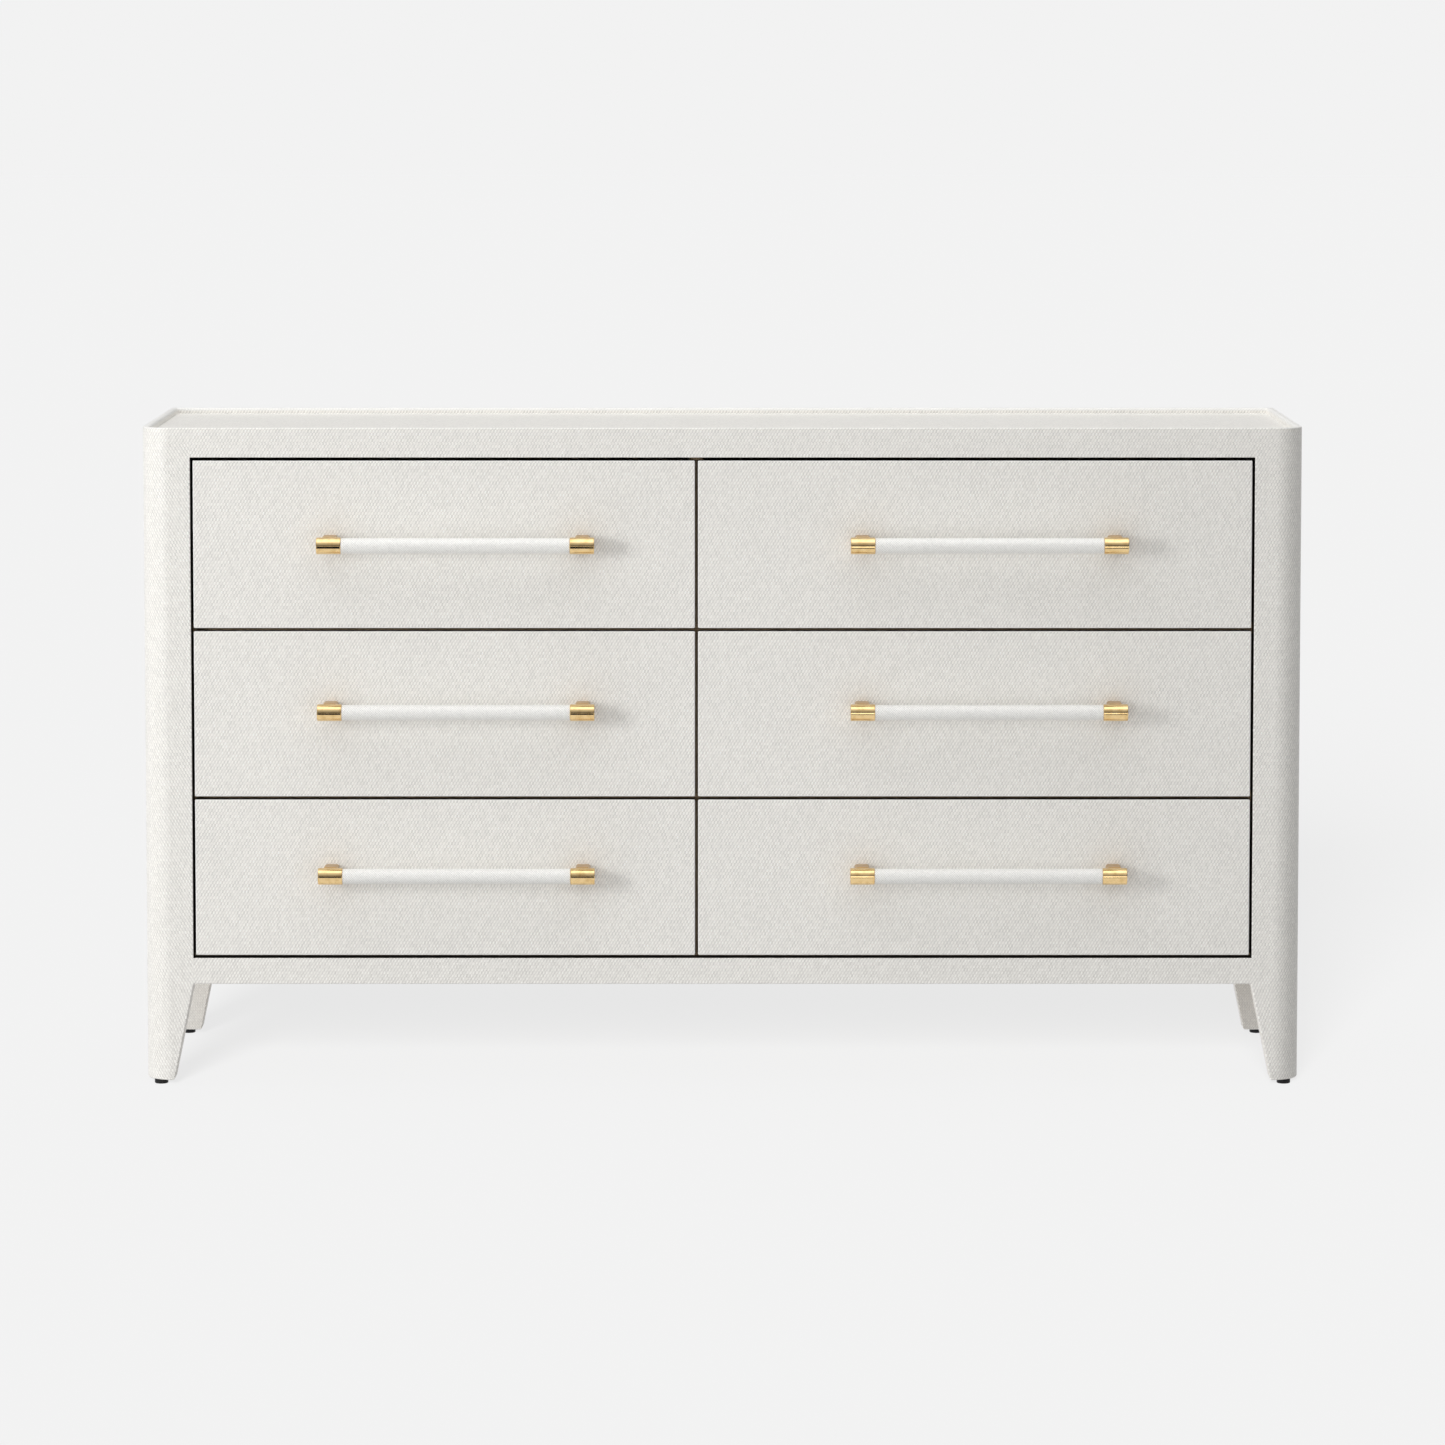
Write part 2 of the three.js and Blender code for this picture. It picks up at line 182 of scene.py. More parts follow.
def woven_cloth(name, thread, pick, tint, contrast=1.0):
    """Plain-woven cloth under lacquer: each thread goes over one and under the next.

    The threads bunch up along one diagonal, which shows as fine slanting ridges.
    """
    material, tree, shader = new_material(name)
    flat = add_node(tree, "UVMap", {"uv_map": "cloth"}, {})["UV"]
    wander_inputs = {"Vector": flat, "Scale": 90.0, "Detail": 2.0}
    wander = add_node(tree, "TexNoise", {}, wander_inputs)["Color"]
    sway_inputs = {0: wander, "Scale": 0.3 * thread}
    sway = add_node(tree, "VectorMath", {"operation": "SCALE"}, sway_inputs)["Vector"]
    laid = add_node(tree, "VectorMath", {"operation": "ADD"}, {0: flat, 1: sway})["Vector"]
    place = add_node(tree, "SeparateXYZ", {}, {"Vector": laid})
    columns = (place["X"] - CLOTH_LEAN * place["Y"]) / thread
    rows = place["Y"] / pick
    column = columns.floor()
    row = rows.floor()
    in_column = columns - column - 0.5
    in_row = rows - row - 0.5
    is_upright = (column + row) % 2
    across = in_row + is_upright * (in_column - in_row)
    along = in_column + is_upright * (in_row - in_column)
    roundness = 1 - across * across * 3.4
    arch = 0.66 + 0.34 * (along * math.pi).cosine()
    relief = roundness * arch
    cell = add_node(tree, "CombineXYZ", {}, {"X": column, "Y": row})["Vector"]
    chance = add_node(tree, "TexWhiteNoise", {"noise_dimensions": "2D"}, {"Vector": cell})["Value"]
    mottle = noise(tree, flat, 14.0, 3.0)
    bunching = ((columns - rows) * math.pi).cosine()
    # The colour is lighter on the threads' crowns and slanting ridges and darker in the hollows and
    # troughs between them: painted shade. The upright threads are a little lighter, partly a real
    # difference of warp and weft and partly painted light from the side light they catch. The rest
    # varies at random.
    weave_tone_and_shade = 0.11 * (relief.between(0, 1) - 0.5) + 0.11 * (is_upright - 0.5)
    weave_tone_and_shade = weave_tone_and_shade + 0.13 * (chance - 0.5) - 0.055 * bunching
    tone = 0.925 + contrast * weave_tone_and_shade + 0.03 * (mottle - 0.5)
    grey = add_node(tree, "CombineColor", {}, {"Red": tone, "Green": tone, "Blue": tone})["Color"]
    colour = mixed(tree, grey, tint, 1.0, "MULTIPLY")
    lift = relief + 0.5 * chance - 0.3 * bunching
    normal = bumped(tree, lift, 0.45, 0.22 * MM)
    roughness = 0.5 - 0.1 * relief.between(0, 1) + 0.08 * (mottle - 0.5)
    feed(tree, shader, Base_Color=colour, Roughness=roughness, Normal=normal)
    shader.inputs["Specular IOR Level"].default_value = 0.45
    shader.inputs["Coat Weight"].default_value = 0.12
    shader.inputs["Coat Roughness"].default_value = 0.35
    return material


board_cloth = woven_cloth("ivory woven cloth", THREAD, PICK, CLOTH_TINT)
# The rolled cloth shows its weave less, and its lighter tint is a painted highlight.
rolled_cloth_highlight = woven_cloth("ivory cloth rolled over an edge, painted highlight", THREAD, PICK, ROLLED_HIGHLIGHT_TINT, contrast=0.35)


def case_outline(inset):
    """The plan of the case, `inset` inside its faces, anticlockwise from the front right corner."""
    points = []
    corners = [(1, True, -90), (1, False, 0), (-1, False, 90), (-1, True, 180)]
    for side, is_front, start in corners:
        full_radius = FRONT_CORNER_RADIUS if is_front else REAR_CORNER_RADIUS
        steps = CORNER_STEPS if is_front else EDGE_STEPS
        radius = max(full_radius - inset, 1 * MM)
        centre_x = side * (case_right - inset - radius)
        centre_y = case_front + inset + radius if is_front else case_back - inset - radius
        for step in range(steps + 1):
            angle = math.radians(start + 90 * step / steps)
            points.append((centre_x + radius * math.cos(angle), centre_y + radius * math.sin(angle)))
    return points


def quarter_round(steps=EDGE_STEPS):
    """How far in and up an eased edge has gone at each step, as shares of its radius."""
    angles = [math.radians(90 * step / steps) for step in range(steps + 1)]
    return [(1 - math.cos(angle), math.sin(angle)) for angle in angles]


def loft(rings, close_end=True):
    """A skin over rings that have as many points each. Its cloth runs round and up them."""
    mesh = bmesh.new()
    cloth = mesh.loops.layers.uv.new("cloth")
    rows = [[mesh.verts.new(point) for point in ring] for ring in rings]
    count = len(rings[0])
    widest = max(rings, key=lambda ring: (Vector(ring[0]) - Vector(ring[count // 2])).length)
    around = [0.0]
    for index in range(count):
        step = Vector(widest[(index + 1) % count]) - Vector(widest[index])
        around.append(around[-1] + step.length)
    up = [rings[0][0][2]]
    for lower, upper in zip(rings, rings[1:]):
        up.append(up[-1] + (Vector(upper[0]) - Vector(lower[0])).length)
    for level in range(len(rings) - 1):
        for index in range(count):
            beside = (index + 1) % count
            corners = [
                (rows[level][index], around[index], up[level]),
                (rows[level][beside], around[index + 1], up[level]),
                (rows[level + 1][beside], around[index + 1], up[level + 1]),
                (rows[level + 1][index], around[index], up[level + 1]),
            ]
            face = mesh.faces.new([vertex for vertex, _, _ in corners])
            for loop, (_, u, v) in zip(face.loops, corners):
                loop[cloth].uv = (u, v)
    ends = [rows[0][::-1]] + ([rows[-1]] if close_end else [])
    for end in ends:
        face = mesh.faces.new(end)
        for loop in face.loops:
            loop[cloth].uv = loop.vert.co.xy
    return mesh


def smooth_piece(name, mesh, *materials):
    """A piece with smooth shading, except where its faces meet at a sharp angle."""
    data = bpy.data.meshes.new(name)
    bmesh.ops.recalc_face_normals(mesh, faces=mesh.faces)
    mesh.to_mesh(data)
    mesh.free()
    data.shade_smooth()
    data.set_sharp_from_angle(angle=math.radians(SHARP_ANGLE))
    for material in materials:
        data.materials.append(material)
    piece = bpy.data.objects.new(name, data)
    bpy.context.scene.collection.objects.link(piece)
    return piece


def finished(node, mesh, material, slot, *more_materials):
    """Makes the visible piece that stands for one solid and moves with its body."""
    piece = smooth_piece(node + "_finished", mesh, material, *more_materials)
    even = piece.modifiers.new("Even shading", "WEIGHTED_NORMAL")
    even.keep_sharp = True
    bodies = frame["record"]["behaviour"]["bodies"]
    body = next(name for name, members in bodies.items() if node in members)
    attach(piece, body)
    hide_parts(node)


rim_top = tray_high.z
recess = rim_top - RIM_HEIGHT
easing = quarter_round()
tray_levels = [(0.0, tray_low.z)]
tray_levels += [(EASING * inward, rim_top - EASING + EASING * up) for inward, up in easing]
for inward, up in easing[::-1]:
    tray_levels.append((RIM_WIDTH - RIM_ROUNDING * inward, rim_top - RIM_ROUNDING * (1 - up)))
tray_levels += [(RIM_WIDTH + EASING * inward, recess + EASING * (1 - up)) for inward, up in easing]
tray_rings = [[(x, y, z) for x, y in case_outline(inset)] for inset, z in tray_levels]
tray = loft(tray_rings)
# The rim's top and its rolled inner edge get the lighter cloth, as a painted highlight.
for face in tray.faces:
    middle = face.calc_center_median()
    is_on_rim = middle.z > rim_top - RIM_ROUNDING and len(face.verts) == 4
    from_side = min(case_right - abs(middle.x), middle.y - case_front, case_back - middle.y)
    if is_on_rim and from_side > EASING:
        face.material_index = ROLLED_HIGHLIGHT
finished("tray_top", tray, board_cloth, "wrapped_board", rolled_cloth_highlight)

# ---- Front rails and side panels ----
# Solid boards wrapped in the same cloth. The rails close the front above and below the drawers,
# and the panels close the ends. All are glued in between the posts, flush with them. The edges
# that face the drawers are coloured nearly black as painted shade, so the gaps there read as
# black lines.

FIT_GAP = 0.3 * MM  # left between two solids that touch, closed up here
RIGHT, LEFT, BACK, UP = (1, 0, 0), (-1, 0, 0), (0, 1, 0), (0, 0, 1)
FRONT, DOWN = (0, -1, 0), (0, 0, -1)


def board(low, high, squared=(), easing=EASING):
    """A board with eased edges, but square along the faces whose directions are in squared."""
    mesh = bmesh.new()
    bmesh.ops.create_cube(mesh, size=1.0)
    middle = (low + high) / 2
    size = high - low
    for vertex in mesh.verts:
        vertex.co = middle + vertex.co * size
    square = [Vector(direction) for direction in squared]
    mesh.normal_update()
    eased = []
    for edge in mesh.edges:
        faces = edge.link_faces
        if not any(face.normal.dot(direction) > 0.9 for face in faces for direction in square):
            eased.append(edge)
    settings = {"offset": easing, "segments": 3, "profile": 0.5, "affect": "EDGES"}
    bmesh.ops.bevel(mesh, geom=eased, **settings)
    lay_flat(mesh)
    return mesh


def lay_flat(mesh):
    """Lays cloth squarely on every face of a board, along the two axes that the face lies in."""
    mesh.normal_update()
    cloth = mesh.loops.layers.uv.get("cloth") or mesh.loops.layers.uv.new("cloth")
    for face in mesh.faces:
        facing = [abs(part) for part in face.normal]
        across, up = [(1, 2), (0, 2), (0, 1)][facing.index(max(facing))]
        for loop in face.loops:
            loop[cloth].uv = (loop.vert.co[across], loop.vert.co[up])


def stretched(tree, place, scale):
    """A place scaled by its own amount along each axis."""
    return add_node(tree, "Mapping", {}, {"Vector": place, "Scale": scale})["Vector"]


def painted_shade_wood(name):
    """Close-grained wood coloured nearly black, with the grain only just showing: painted shade for the
    faces in the gaps beside the drawers.
    """
    material, tree, shader = new_material(name)
    place = add_node(tree, "TexCoord", {}, {})["Object"]
    grain = noise(tree, stretched(tree, place, (4.0, 90.0, 90.0)), 6.0, 4.0)
    dark = (0.040, 0.033, 0.027, 1.0)
    worn = (0.075, 0.060, 0.047, 1.0)
    colour = mixed(tree, dark, worn, grain.between(0.4, 0.7))
    normal = bumped(tree, grain, 0.2, 0.1 * MM)
    feed(tree, shader, Base_Color=colour, Roughness=0.6 + 0.2 * (grain - 0.5), Normal=normal)
    return material


def use_second(mesh, direction, chosen=lambda middle: True):
    """Gives the faces that point one way, and whose middles are chosen, the second material."""
    bmesh.ops.recalc_face_normals(mesh, faces=mesh.faces)
    for face in mesh.faces:
        if face.normal.dot(Vector(direction)) > 0.95 and chosen(face.calc_center_median()):
            face.material_index = 1


painted_gap_shade = painted_shade_wood("dark edge, painted gap shade")
end_gap = Vector((FIT_GAP, 0, 0))
top_gap = Vector((0, 0, FIT_GAP))
for node in ("top_front_rail", "bottom_front_rail"):
    low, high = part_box(node)
    is_top = node == "top_front_rail"
    raised = high + top_gap if is_top else high
    squared = (RIGHT, LEFT, UP) if is_top else (RIGHT, LEFT)
    rail = board(low - end_gap, raised + end_gap, squared)
    # The rail's face towards the drawers gets the near-black painted shade.
    use_second(rail, DOWN if is_top else UP)
    finished(node, rail, board_cloth, "wrapped_board", painted_gap_shade)
depth_gap = Vector((0, FIT_GAP, 0))
for node in ("left_side_panel", "right_side_panel"):
    low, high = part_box(node)
    panel = board(low - depth_gap, high + depth_gap + top_gap, (FRONT, BACK, UP))
    finished(node, panel, board_cloth, "wrapped_board")

# ---- Posts ----
# Four posts of glued-up wood, straight beside the drawers and tapered on their two inner faces
# below the case. Cloth is wrapped round them, and round the large front corners.

FOOT_WIDTH = 38 * MM
FOOT_BEVEL = 2 * MM
FOOT_TURN = (0.6 * MM, 0.9 * MM)  # how far up and how far in the bevel is at its middle
TAPER_TURN = 0.2 * MM  # height over which the taper ends
EASING_END = 1.2 * MM  # height over which an eased edge runs out
TIGHT = 0.05 * MM  # where the cloth runs on to the next board without a break

case_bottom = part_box("bottom_front_rail")[0].z
opening_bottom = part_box("bottom_front_rail")[1].z
opening_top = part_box("top_front_rail")[0].z


def rounded_corner(corner, first, second, radius, steps):
    """The arc that rounds a corner, between the directions to the points before and after it."""
    points = []
    for step in range(steps + 1):
        angle = math.radians(90 * step / steps)
        toward_first = 1 - math.sin(angle)
        toward_second = 1 - math.cos(angle)
        x = corner[0] + radius * (first[0] * toward_first + second[0] * toward_second)
        y = corner[1] + radius * (first[1] * toward_first + second[1] * toward_second)
        points.append((x, y))
    return points


def post_ring(side, is_front, width, depth, trim, easings):
    """One level of a post, going round from the corner beside the opening to the outer corner."""
    corner_radius = FRONT_CORNER_RADIUS if is_front else REAR_CORNER_RADIUS
    inner, outer = width - trim, trim
    near, far = trim, depth - trim
    corners = [
        ((inner, near), (0, 1), (-1, 0), easings[0], EDGE_STEPS),
        ((outer, near), (1, 0), (0, 1), corner_radius - trim, CORNER_STEPS),
        ((outer, far), (0, -1), (1, 0), easings[1], EDGE_STEPS),
        ((inner, far), (-1, 0), (0, -1), easings[2], EDGE_STEPS),
    ]
    points = [point for corner in corners for point in rounded_corner(*corner)]
    outer_x = case_right if side > 0 else case_left
    outer_y = case_front if is_front else case_back
    inward_y = 1 if is_front else -1
    return [(outer_x - side * u, outer_y + inward_y * v) for u, v in points]


all_eased = (EASING, EASING, EASING)
all_tight = (TIGHT, TIGHT, TIGHT)
beside_drawers = (EASING, TIGHT, TIGHT)
for is_front in (True, False):
    for side_name, side in (("left", -1), ("right", 1)):
        node = ("front_" if is_front else "rear_") + side_name + "_post"
        low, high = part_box(node)
        width = high.x - low.x
        depth = high.y - low.y
        level_sizes = [
            (low.z, FOOT_WIDTH, FOOT_WIDTH, FOOT_BEVEL, all_eased),
            (low.z + FOOT_TURN[0], FOOT_WIDTH, FOOT_WIDTH, FOOT_TURN[1], all_eased),
            (low.z + FOOT_BEVEL, FOOT_WIDTH, FOOT_WIDTH, 0.0, all_eased),
            (case_bottom - TAPER_TURN, width, depth, 0.0, all_eased),
            (case_bottom, width, depth, 0.0, all_tight),
        ]
        if is_front:
            level_sizes += [
                (opening_bottom - EASING_END, width, depth, 0.0, all_tight),
                (opening_bottom, width, depth, 0.0, beside_drawers),
                (opening_top, width, depth, 0.0, beside_drawers),
                (opening_top + EASING_END, width, depth, 0.0, all_tight),
            ]
        level_sizes.append((tray_low.z, width, depth, 0.0, all_tight))
        rings = []
        for z, level_width, level_depth, trim, easings in level_sizes:
            ring = post_ring(side, is_front, level_width, level_depth, trim, easings)
            rings.append([(x, y, z) for x, y in ring])
        post = loft(rings)
        # The front posts' faces beside the drawers get the near-black painted shade.
        if is_front:
            use_second(post, (-side, 0, 0), lambda middle: opening_bottom < middle.z < opening_top)
        finished(node, post, board_cloth, "wrapped_board", painted_gap_shade)

# ---- Glides ----
# A black moulded plastic button under each leg. A nail through its middle would hold it to the
# foot. The nail isn't made, only the recess that its head sits in.

GLIDE_ROUNDING = 1.5 * MM
NAIL_RADIUS = 2.2 * MM
RECESS_DEPTH = 1.4 * MM
RECESS_FLARE = 0.6 * MM  # depth at which the recess starts to widen to its mouth
GLIDE_RIM = (0.5 * MM, 0.4 * MM)  # how far down and in the button's upper edge is chamfered


def turned(profile, start, direction, steps=32, close_end=True):
    """A round part: profile gives (distance along, radius), from start and along direction."""
    axis = Vector(direction).normalized()
    side = axis.orthogonal().normalized()
    other = axis.cross(side)
    rings = []
    for along, radius in profile:
        centre = Vector(start) + axis * along
        ring = []
        for step in range(steps):
            angle = 2 * math.pi * step / steps
            ring.append(centre + radius * (side * math.cos(angle) + other * math.sin(angle)))
        rings.append(ring)
    return loft(rings, close_end)


def joined(meshes):
    """Several closed skins as one piece."""
    whole = bmesh.new()
    for mesh in meshes:
        part = bpy.data.meshes.new("part")
        bmesh.ops.recalc_face_normals(mesh, faces=mesh.faces)
        mesh.to_mesh(part)
        mesh.free()
        whole.from_mesh(part)
        bpy.data.meshes.remove(part)
    return whole


def moulded_plastic(name, tint):
    """Injection-moulded plastic with a fine spark-eroded grain and a few dusty scuffs."""
    material, tree, shader = new_material(name)
    place = add_node(tree, "TexCoord", {}, {})["Object"]
    grain = noise(tree, place, 2500.0, 2.0)
    scuffs = noise(tree, place, 160.0, 4.0)
    dusty = scuffs.between(0.52, 0.75)
    dust = (0.025, 0.024, 0.023, 1.0)
    colour = mixed(tree, tint, dust, dusty)
    normal = bumped(tree, grain, 0.3, 0.1 * MM)
    feed(tree, shader, Base_Color=colour, Roughness=0.4 + 0.25 * dusty, Normal=normal)
    shader.inputs["Specular IOR Level"].default_value = 0.25
    return material


glide_plastic = moulded_plastic("black moulded plastic", (0.006, 0.006, 0.007, 1.0))
for end_name in ("front", "rear"):
    for side_name in ("left", "right"):
        node = f"{end_name}_{side_name}_glide"
        low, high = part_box(node)
        radius = (high.x - low.x) / 2
        height = high.z - low.z
        middle = Vector(((low.x + high.x) / 2, (low.y + high.y) / 2, 0))
        profile = [(RECESS_DEPTH, 0.2 * MM), (RECESS_DEPTH, NAIL_RADIUS)]
        profile += [(RECESS_FLARE, NAIL_RADIUS + 0.3 * MM)]
        profile += [(0.0, NAIL_RADIUS + 1 * MM), (0.0, radius - GLIDE_ROUNDING)]
        for inward, up in quarter_round():
            along = GLIDE_ROUNDING * inward
            profile.append((along, radius - GLIDE_ROUNDING * (1 - up)))
        profile += [(height - GLIDE_RIM[0], radius), (height + FIT_GAP, radius - GLIDE_RIM[1])]
        finished(node, turned(profile, middle, UP), glide_plastic, "black_plastic")

# ---- Bottom, dust panels and partition ----
# Sheets of sanded birch plywood. The bottom and the two dust panels are notched round the posts,
# and the partition is halved into the dust panels, so that they hold each other upright.

PLY = 1.6 * MM  # thickness of one veneer
SAWN_EASING = 0.4 * MM  # of an edge that is only sanded


def plywood(name, layered_axis):
    """Rotary-cut birch: wide blotchy grain along X, and darker cross layers on the edges."""
    material, tree, shader = new_material(name)
    place = add_node(tree, "TexCoord", {}, {})["Object"]
    figure = noise(tree, stretched(tree, place, (1.2, 9.0, 9.0)), 5.0, 5.0, Distortion=1.1)
    streaks = noise(tree, stretched(tree, place, (6.0, 120.0, 120.0)), 8.0, 3.0)
    depth = add_node(tree, "SeparateXYZ", {}, {"Vector": place})[layered_axis]
    layer = (depth / PLY).floor() % 2
    pale = (0.60, 0.44, 0.27, 1.0)
    dark = (0.46, 0.31, 0.17, 1.0)
    glue_line = (0.30, 0.19, 0.10, 1.0)
    share = 0.75 * figure.between(0.35, 0.7) + 0.25 * streaks.between(0.4, 0.7)
    colour = mixed(tree, pale, dark, share)
    colour = mixed(tree, colour, glue_line, 0.55 * layer)
    normal = bumped(tree, streaks, 0.25, 0.15 * MM)
    feed(tree, shader, Base_Color=colour, Roughness=0.55 + 0.2 * (streaks - 0.5), Normal=normal)
    return material


def cut_board(outline, axis, start, end, easing=SAWN_EASING):
    """A board sawn to an outline in the plane across axis (0 is X), between start and end."""
    mesh = bmesh.new()
    rings = []
    for depth in (start, end):
        ring = []
        for first, second in outline:
            place = [first, second]
            place.insert(axis, depth)
            ring.append(mesh.verts.new(place))
        rings.append(ring)
    near, far = rings
    mesh.faces.new(near)
    mesh.faces.new(far[::-1])
    for index in range(len(outline)):
        beside = (index + 1) % len(outline)
        mesh.faces.new([near[beside], near[index], far[index], far[beside]])
    bmesh.ops.recalc_face_normals(mesh, faces=mesh.faces)
    settings = {"offset": easing, "segments": 1, "profile": 0.5, "affect": "EDGES"}
    bmesh.ops.bevel(mesh, geom=list(mesh.edges), **settings)
    lay_flat(mesh)
    return mesh


level_plywood = plywood("birch plywood, laid flat", "Z")
upright_plywood = plywood("birch plywood, upright", "X")
partition_low, partition_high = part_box("centre_partition")
front_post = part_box("front_left_post")
rear_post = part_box("rear_left_post")
halving = (partition_low.y + partition_high.y) / 2


def level_outline(low, high, is_halved):
    """The plan of a board that is notched round the four posts."""
    narrow = -front_post[1].x - FIT_GAP
    front_notch = front_post[1].y + FIT_GAP
    rear_notch = rear_post[0].y - FIT_GAP
    slot_left = partition_low.x - FIT_GAP
    slot_right = partition_high.x + FIT_GAP
    right = [(narrow, low.y), (narrow, front_notch), (high.x, front_notch)]
    right += [(high.x, rear_notch), (narrow, rear_notch), (narrow, high.y)]
    slot = [(slot_right, high.y), (slot_right, halving), (slot_left, halving), (slot_left, high.y)]
    left = [(-x, y) for x, y in right[::-1]]
    return right + (slot if is_halved else []) + left


for node in ("bottom_panel", "lower_dust_panel", "upper_dust_panel"):
    low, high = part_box(node)
    outline = level_outline(low, high, is_halved=node != "bottom_panel")
    finished(node, cut_board(outline, 2, low.z, high.z), level_plywood, "carcase_wood")

partition_outline = [(partition_low.y, partition_low.z), (partition_high.y, partition_low.z)]
partition_outline += [(partition_high.y, partition_high.z), (partition_low.y, partition_high.z)]
for node in ("upper_dust_panel", "lower_dust_panel"):
    low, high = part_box(node)
    slot_top, slot_bottom = high.z + FIT_GAP, low.z - FIT_GAP
    slot_end = halving + FIT_GAP
    partition_outline += [(partition_low.y, slot_top), (slot_end, slot_top)]
    partition_outline += [(slot_end, slot_bottom), (partition_low.y, slot_bottom)]
partition = cut_board(partition_outline, 0, partition_low.x, partition_high.x)
finished("centre_partition", partition, upright_plywood, "carcase_wood")

# ---- Back panel ----
# A thin cloth-covered sheet set in between the rear posts, with zinc-plated domed screws all
# round and down its middle. The middle ones go into the partition. The others have nothing
# behind them, because the battens that they would go into aren't made.

BACK_EASING = 0.8 * MM
SCREW_HEAD = 3.6 * MM
SCREW_INSET = 14 * MM
SCREW_COLUMNS = 9  # along the upper and the lower edge
SCREW_LEVELS = 4  # steps between the lower and the upper edge
HEAD_STEPS = 24
HEAD_HEIGHT = 0.52  # share of the head's radius
SOCKET = 1.5 * MM  # from its middle to a corner
SOCKET_DEPTH = 0.8  # share of the head's height


def plated_steel(name, tint):
    """Zinc plating: bright, with the soft cloudiness of a barrel-plated screw."""
    material, tree, shader = new_material(name)
    place = add_node(tree, "TexCoord", {}, {})["Object"]
    cloud = noise(tree, place, 900.0, 3.0)
    dull = (0.45, 0.46, 0.48, 1.0)
    colour = mixed(tree, tint, dull, cloud.between(0.35, 0.75))
    feed(tree, shader, Base_Color=colour, Roughness=0.26 + 0.22 * cloud)
    shader.inputs["Metallic"].default_value = 1.0
    return material


def screw_head(place, direction, radius=SCREW_HEAD):
    """A domed screw head with a six-sided socket, let in a little way behind place."""
    height = HEAD_HEIGHT * radius
    profile = [(-0.4 * MM, radius * 0.98), (0.0, radius)]
    for inward, up in quarter_round(5)[1:]:
        spread = radius - (radius - SOCKET * 1.15) * inward
        profile.append((height * up, spread))
    head = turned(profile, place, direction, HEAD_STEPS, close_end=False)
    axis = Vector(direction).normalized()
    rim = list(head.verts)[-HEAD_STEPS:]
    crown = Vector(place) + axis * height
    previous = rim
    for depth in (0.0, -SOCKET_DEPTH * height):
        ring = []
        for step, vertex in enumerate(rim):
            outward = (vertex.co - crown).normalized()
            turn = math.radians((360 * step / HEAD_STEPS) % 60 - 30)
            flat = SOCKET * math.cos(math.radians(30)) / math.cos(turn)
            ring.append(head.verts.new(crown + outward * flat + axis * depth))
        for step in range(HEAD_STEPS):
            beside = (step + 1) % HEAD_STEPS
            head.faces.new([previous[step], previous[beside], ring[beside], ring[step]])
        previous = ring
    head.faces.new(previous[::-1])
    return head


back_low, back_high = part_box("back_panel")
back_sheet = board(back_low - end_gap, back_high + end_gap + top_gap, (UP,), BACK_EASING)
finished("back_panel", back_sheet, board_cloth, "wrapped_board")

zinc = plated_steel("zinc-plated steel", (0.72, 0.73, 0.75, 1.0))
screw_places = []
screwed_width = back_high.x - back_low.x - 2 * SCREW_INSET
for level in (back_low.z + SCREW_INSET, back_high.z - SCREW_INSET):
    for step in range(SCREW_COLUMNS):
        across = back_low.x + SCREW_INSET + screwed_width * step / (SCREW_COLUMNS - 1)
        screw_places.append((across, level))
middle_x = (partition_low.x + partition_high.x) / 2
for across in (back_low.x + SCREW_INSET, middle_x, back_high.x - SCREW_INSET):
    for step in range(1, SCREW_LEVELS):
        level = back_low.z + (back_high.z - back_low.z) * step / SCREW_LEVELS
        screw_places.append((across, level))


def loose_piece(name, mesh, material, body):
    """A small visible piece that has no solid of its own."""
    piece = smooth_piece(name, mesh, material)
    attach(piece, body)


back_screws = [screw_head((x, back_high.y, z), BACK) for x, z in screw_places]
loose_piece("back_panel_screws", joined(back_screws), zinc, "case")

# ---- Drawer fronts ----
# Each front is a board with the same cloth on its face, rolled just over the edges in a lighter
# tint, a painted highlight. The rest of the edges is near-black painted shade for the gaps, and
# its inner face, towards the drawer, is lacquered wood.

CLOTH_ROLL = 3.0 * MM  # how far back the cloth goes on the edges
SHADOW_GAP = 0.3 * MM  # what the front gives up all round to leave a clear gap
EDGE_MARGIN = 2 * MM  # stained border round the bare inner face
INNER_STEP = 0.3 * MM  # how far the inner face lies below that border
GAP_SHADE, BARE, ROLLED_HIGHLIGHT_EDGE = 1, 2, 3  # places of the other coverings among a front's materials
DRAWERS = [f"{row}_{side}" for row in ("top", "middle", "bottom") for side in ("left", "right")]


def lacquered_wood(name, grain_axis):
    """Pale straight-grained wood under clear lacquer, with its grain along one axis."""
    material, tree, shader = new_material(name)
    place = add_node(tree, "TexCoord", {}, {})["Object"]
    long_scale = tuple(0.7 if axis == grain_axis else 11.0 for axis in "XYZ")
    drawn_out = stretched(tree, place, long_scale)
    bend = noise(tree, drawn_out, 1.6, 2.0)
    across = add_node(tree, "SeparateXYZ", {}, {"Vector": drawn_out})
    sideways = [across[axis] for axis in "XYZ" if axis != grain_axis]
    rings = ((sideways[0] + sideways[1]) * 14.0 + bend * 22.0).cosine()
    fibre_scale = tuple(9.0 if axis == grain_axis else 420.0 for axis in "XYZ")
    fibres = noise(tree, stretched(tree, place, fibre_scale), 3.0, 3.0)
    pale = (0.66, 0.50, 0.32, 1.0)
    dark = (0.50, 0.34, 0.19, 1.0)
    share = 0.35 * rings.between(-1, 1) + 0.45 * fibres.between(0.3, 0.75)
    colour = mixed(tree, pale, dark, share)
    normal = bumped(tree, fibres, 0.2, 0.1 * MM)
    feed(tree, shader, Base_Color=colour, Roughness=0.34 + 0.18 * fibres, Normal=normal)
    shader.inputs["Coat Weight"].default_value = 0.25
    shader.inputs["Coat Roughness"].default_value = 0.2
    return material


